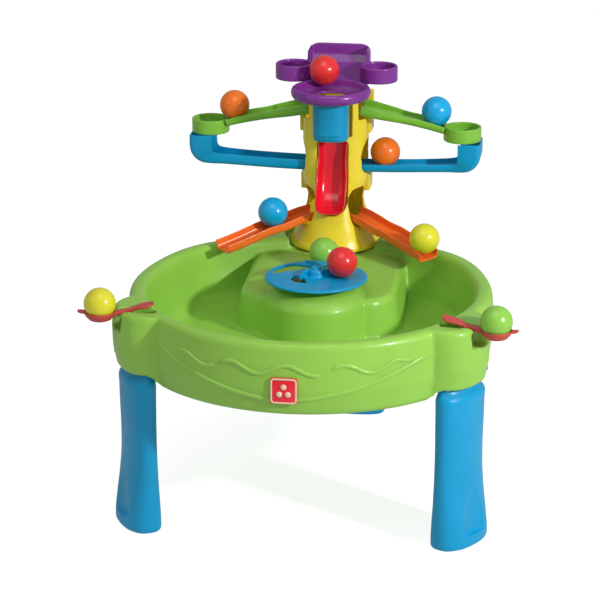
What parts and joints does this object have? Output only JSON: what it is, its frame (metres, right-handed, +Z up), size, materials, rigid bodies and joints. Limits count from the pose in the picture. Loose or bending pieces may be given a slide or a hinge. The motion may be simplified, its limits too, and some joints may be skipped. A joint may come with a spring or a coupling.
{
  "type": "ball play water table",
  "caption": "Round three-lobed play basin on three legs, with a ball tower, paired ramps and slides, a turning wheel, hinged ball spoons and play balls.",
  "frame": {"origin": "on the floor, under the middle of the whole table's bounding box", "axes": "+X to the right of someone facing the front of the table, +Y towards the tower at the back, +Z up; the plaque faces -Y"},
  "size_m": [0.7786, 0.8249, 0.769],
  "materials": {
    "lime_plastic": "satin moulded polyethylene, fine orange-peel",
    "blue_plastic": "satin moulded polyethylene",
    "zinc_steel": "zinc plated",
    "yellow_plastic": "glossy injection moulding",
    "red_plastic": "glossy injection moulding",
    "purple_plastic": "semi-gloss injection moulding",
    "green_plastic": "semi-gloss injection moulding",
    "orange_plastic": "semi-gloss injection moulding",
    "brick_red_plastic": "satin injection moulding",
    "red_ball": "soft glossy play ball",
    "orange_ball": "soft glossy play ball",
    "blue_ball": "soft glossy play ball",
    "yellow_ball": "soft glossy play ball",
    "green_ball": "soft glossy play ball"
  },
  "bodies": {
    "table": {"tub": "lime_plastic", "front_left_leg": "blue_plastic", "front_right_leg": "blue_plastic", "rear_leg": "blue_plastic", "front_drop_cover": "blue_plastic", "left_return_trough": "blue_plastic", "right_return_trough": "blue_plastic", "leg_screw_left_a": "zinc_steel", "leg_screw_left_b": "zinc_steel", "leg_screw_right_a": "zinc_steel", "leg_screw_right_b": "zinc_steel", "leg_screw_rear_a": "zinc_steel", "leg_screw_rear_b": "zinc_steel", "tower_screw_front_right": "zinc_steel", "tower_screw_front_left": "zinc_steel", "tower_screw_rear_right": "zinc_steel", "tower_screw_rear_left": "zinc_steel", "left_spoon_pin": "zinc_steel", "right_spoon_pin": "zinc_steel", "wheel_post": "zinc_steel", "tower_front_shell": "yellow_plastic", "tower_rear_shell": "yellow_plastic", "front_slide": "red_plastic", "badge_plate": "red_plastic", "ball_drop_top": "purple_plastic", "left_upper_ramp": "green_plastic", "right_upper_ramp": "green_plastic", "left_lower_slide": "orange_plastic", "right_lower_slide": "orange_plastic"},
    "wheel": {"wheel": "blue_plastic", "wheel_cap": "blue_plastic", "wheel_red_ball": "red_ball"},
    "left_spoon": {"left_spoon": "brick_red_plastic", "left_spoon_yellow_ball": "yellow_ball"},
    "right_spoon": {"right_spoon": "brick_red_plastic", "right_spoon_green_ball": "green_ball"},
    "drain_plug": {"drain_plug": "blue_plastic"},
    "top_red_ball": {"top_red_ball": "red_ball"},
    "left_ramp_orange_ball": {"left_ramp_orange_ball": "orange_ball"},
    "right_ramp_blue_ball": {"right_ramp_blue_ball": "blue_ball"},
    "right_trough_orange_ball": {"right_trough_orange_ball": "orange_ball"},
    "left_slide_blue_ball": {"left_slide_blue_ball": "blue_ball"},
    "right_slide_yellow_ball": {"right_slide_yellow_ball": "yellow_ball"},
    "deck_green_ball": {"deck_green_ball": "green_ball"}
  },
  "joints": [
    {"name": "wheel_spin", "type": "hinge", "parent": "table", "child": "wheel", "pos_m": [0, -0.0101, 0.405], "axis": [0, 0, 1], "continuous": true},
    {"name": "left_spoon_press", "type": "hinge", "parent": "table", "child": "left_spoon", "pos_m": [-0.3, -0.2581, 0.4045], "axis": [-0.1392, 0.9903, 0], "range_deg": [0, 14]},
    {"name": "right_spoon_press", "type": "hinge", "parent": "table", "child": "right_spoon", "pos_m": [0.3, -0.2581, 0.4045], "axis": [-0.1392, -0.9903, 0], "range_deg": [0, 14]},
    {"name": "drain_plug_pull", "type": "slide", "parent": "table", "child": "drain_plug", "axis": [0, 0, 1], "range_m": [0, 0.04]},
    {"name": "top_red_ball_drop", "type": "slide", "parent": "table", "child": "top_red_ball", "axis": [0.3602, -0.8605, -0.3602], "range_m": [0, 0.045]},
    {"name": "left_ramp_ball_roll", "type": "slide", "parent": "table", "child": "left_ramp_orange_ball", "axis": [0.9724, 0, 0.2334], "range_m": [0, 0.06]},
    {"name": "right_ramp_ball_roll", "type": "slide", "parent": "table", "child": "right_ramp_blue_ball", "axis": [-0.9724, 0, 0.2334], "range_m": [0, 0.06]},
    {"name": "right_trough_ball_roll", "type": "slide", "parent": "table", "child": "right_trough_orange_ball", "axis": [0.9997, 0, 0.025], "range_m": [-0.018, 0.036]},
    {"name": "left_slide_ball_roll", "type": "slide", "parent": "table", "child": "left_slide_blue_ball", "axis": [-0.7685, -0.6157, -0.1745], "range_m": [-0.045, 0.09]},
    {"name": "right_slide_ball_roll", "type": "slide", "parent": "table", "child": "right_slide_yellow_ball", "axis": [0.763, -0.6113, -0.2101], "range_m": [-0.05, 0.012]},
    {"name": "deck_ball_roll", "type": "slide", "parent": "table", "child": "deck_green_ball", "axis": [0, 0.995, 0.0995], "range_m": [0, 0.03]}
  ]
}
